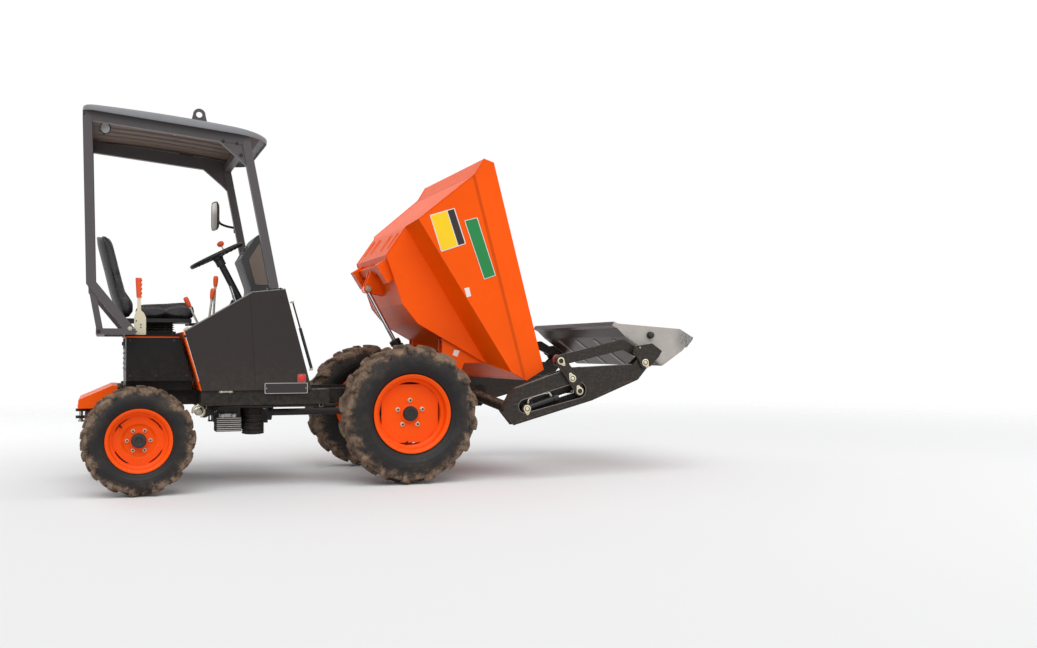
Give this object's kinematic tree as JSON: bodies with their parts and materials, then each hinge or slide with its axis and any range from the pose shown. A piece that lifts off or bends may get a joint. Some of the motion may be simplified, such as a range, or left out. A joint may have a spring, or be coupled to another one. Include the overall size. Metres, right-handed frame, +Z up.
{
  "type": "site dumper",
  "caption": "Rigid site dumper with a front tipping skip, a self-loading shovel on two arms, steered rear wheels and an open station below a post-carried roof.",
  "frame": {"origin": "on the ground below the middle of the front axle, which lies within 15 mm of the middle of the bounding box along X", "axes": "+X forwards over the skip and shovel, +Y to the seated driver's left, +Z up; the driver sits at the rear and faces +X"},
  "size_m": [3.9715, 1.598, 2.294],
  "materials": {
    "tyre": "matte",
    "orange": "gloss",
    "dark_grey": "satin",
    "grey": "satin",
    "black_steel": "satin",
    "bare_steel": null,
    "chrome": null,
    "vinyl": null,
    "black_plastic": null,
    "engine": null,
    "lamp": null,
    "casting": null
  },
  "bodies": {
    "chassis": {"chassis_frame": "dark_grey", "front_axle": "casting", "rear_axle": "black_steel", "entry_step": "dark_grey", "tow_hitch": "black_steel", "rear_cover": "orange", "engine_block": "engine", "transmission": "casting", "hydraulic_unit": "casting", "seat_box": "black_steel", "seat_box_lid": "black_steel", "bulkhead": "orange", "side_panel_right": "dark_grey", "side_panel_left": "dark_grey", "cowl": "dark_grey", "floor_plate": "dark_grey", "rops_frame": "grey", "canopy": "black_plastic", "seat_base": "black_steel", "seat_cushion": "vinyl", "seat_back": "vinyl", "dashboard": "black_plastic", "steering_column": "black_steel", "control_levers": "black_steel", "brake_lever": "black_steel", "mirror_arm": "black_steel", "mirror_head": "black_plastic", "tail_lamps": "lamp"},
    "wheel_front_right": {"tyre_front_right": "tyre", "rim_front_right": "orange"},
    "wheel_front_left": {"tyre_front_left": "tyre", "rim_front_left": "orange"},
    "wheel_rear_right": {"tyre_rear_right": "tyre", "rim_rear_right": "orange"},
    "wheel_rear_left": {"tyre_rear_left": "tyre", "rim_rear_left": "orange"},
    "knuckle_right": {"knuckle_right": "black_steel"},
    "knuckle_left": {"knuckle_left": "black_steel"},
    "tie_rod": {"tie_rod": "black_steel"},
    "steering_wheel": {"steering_wheel": "black_plastic"},
    "skip": {"skip_shell": "orange", "skip_underframe": "orange"},
    "tip_barrel": {"tip_ram_barrel": "black_steel"},
    "tip_rod": {"tip_ram_rod": "chrome"},
    "arms": {"loader_arms": "dark_grey"},
    "lift_barrels": {"lift_ram_barrels": "black_steel"},
    "lift_rods": {"lift_ram_rods": "chrome"},
    "levers": {"tilt_levers": "dark_grey"},
    "links": {"tilt_links": "dark_grey"},
    "tilt_barrels": {"tilt_ram_barrels": "black_steel"},
    "tilt_rods": {"tilt_ram_rods": "chrome"},
    "shovel": {"shovel_shell": "bare_steel", "cutting_edge": "bare_steel", "shovel_brackets": "dark_grey"}
  },
  "joints": [
    {"name": "skip_lower", "type": "hinge", "parent": "chassis", "child": "skip", "pos_m": [0.37, 0, 0.68], "axis": [0, -1, 0], "range_deg": [0, 58]},
    {"name": "tip_ram_swing", "type": "hinge", "parent": "chassis", "child": "tip_barrel", "pos_m": [0.27, 0, 0.53], "axis": [0, -1, 0], "range_deg": [0, 58]},
    {"name": "tip_ram_slide", "type": "slide", "parent": "tip_barrel", "child": "tip_rod", "axis": [-0.4865, 0, 0.8737], "range_m": [-0.1755, 0]},
    {"name": "loader_lift", "type": "hinge", "parent": "chassis", "child": "arms", "pos_m": [0.515, 0, 0.54], "axis": [0, -1, 0], "range_deg": [-29.5, 48]},
    {"name": "lift_ram_swing", "type": "hinge", "parent": "chassis", "child": "lift_barrels", "pos_m": [0.14, 0, 0.42], "axis": [0, -1, 0], "range_deg": [-3, 4]},
    {"name": "lift_ram_slide", "type": "slide", "parent": "lift_barrels", "child": "lift_rods", "axis": [0.9986, 0, -0.0533], "range_m": [-0.072, 0.114]},
    {"name": "shovel_tilt", "type": "hinge", "parent": "arms", "child": "shovel", "pos_m": [1.586, 0, 0.76], "axis": [0, -1, 0], "range_deg": [-18, 40]},
    {"name": "lever_swing", "type": "hinge", "parent": "arms", "child": "levers", "pos_m": [1.052, 0, 0.658], "axis": [0, -1, 0], "range_deg": [-11, 23]},
    {"name": "link_swing", "type": "hinge", "parent": "levers", "child": "links", "pos_m": [0.969, 0, 0.773], "axis": [0, -1, 0], "range_deg": [-24, 11]},
    {"name": "tilt_ram_swing", "type": "hinge", "parent": "arms", "child": "tilt_barrels", "pos_m": [0.739, 0, 0.465], "axis": [0, -1, 0], "range_deg": [-2, 3]},
    {"name": "tilt_ram_slide", "type": "slide", "parent": "tilt_barrels", "child": "tilt_rods", "axis": [0.9572, 0, 0.2893], "range_m": [-0.017, 0.036]},
    {"name": "steer", "type": "hinge", "parent": "chassis", "child": "knuckle_right", "pos_m": [-1.62, -0.47, 0.32], "axis": [0, 0, 1], "range_deg": [-30, 30]},
    {"name": "steer_left", "type": "hinge", "parent": "chassis", "child": "knuckle_left", "pos_m": [-1.62, 0.47, 0.32], "axis": [0, 0, 1], "range_deg": [-30, 30]},
    {"name": "tie_rod_pivot", "type": "hinge", "parent": "knuckle_right", "child": "tie_rod", "pos_m": [-1.48, -0.47, 0.32], "axis": [0, 0, 1], "range_deg": [-30, 30]},
    {"name": "steering_wheel_turn", "type": "hinge", "parent": "chassis", "child": "steering_wheel", "pos_m": [-1.132, 0, 1.46], "axis": [-0.462, 0, 0.8869], "range_deg": [-361, 361]},
    {"name": "wheel_front_right_spin", "type": "hinge", "parent": "chassis", "child": "wheel_front_right", "pos_m": [0, -0.595, 0.4425], "axis": [0, 1, 0], "continuous": true},
    {"name": "wheel_front_left_spin", "type": "hinge", "parent": "chassis", "child": "wheel_front_left", "pos_m": [0, 0.595, 0.4425], "axis": [0, 1, 0], "continuous": true},
    {"name": "wheel_rear_right_spin", "type": "hinge", "parent": "knuckle_right", "child": "wheel_rear_right", "pos_m": [-1.62, -0.62, 0.32], "axis": [0, 1, 0], "continuous": true},
    {"name": "wheel_rear_left_spin", "type": "hinge", "parent": "knuckle_left", "child": "wheel_rear_left", "pos_m": [-1.62, 0.62, 0.32], "axis": [0, 1, 0], "continuous": true}
  ],
  "couplings": [
    {"joint": "tip_ram_swing", "follows": "skip_lower", "ratio": 0.9857},
    {"joint": "tip_ram_slide", "follows": "skip_lower", "m_per_rad": -0.1725},
    {"joint": "lift_ram_swing", "follows": "loader_lift", "ratio": 0.0688},
    {"joint": "lift_ram_slide", "follows": "loader_lift", "m_per_rad": 0.1348},
    {"joint": "lever_swing", "follows": "shovel_tilt", "ratio": 0.5558},
    {"joint": "link_swing", "follows": "shovel_tilt", "ratio": -0.5769},
    {"joint": "tilt_ram_swing", "follows": "shovel_tilt", "ratio": 0.0477},
    {"joint": "tilt_ram_slide", "follows": "shovel_tilt", "m_per_rad": 0.0501},
    {"joint": "steer_left", "follows": "steer", "ratio": 1},
    {"joint": "tie_rod_pivot", "follows": "steer", "ratio": -1},
    {"joint": "steering_wheel_turn", "follows": "steer", "ratio": -12}
  ]
}
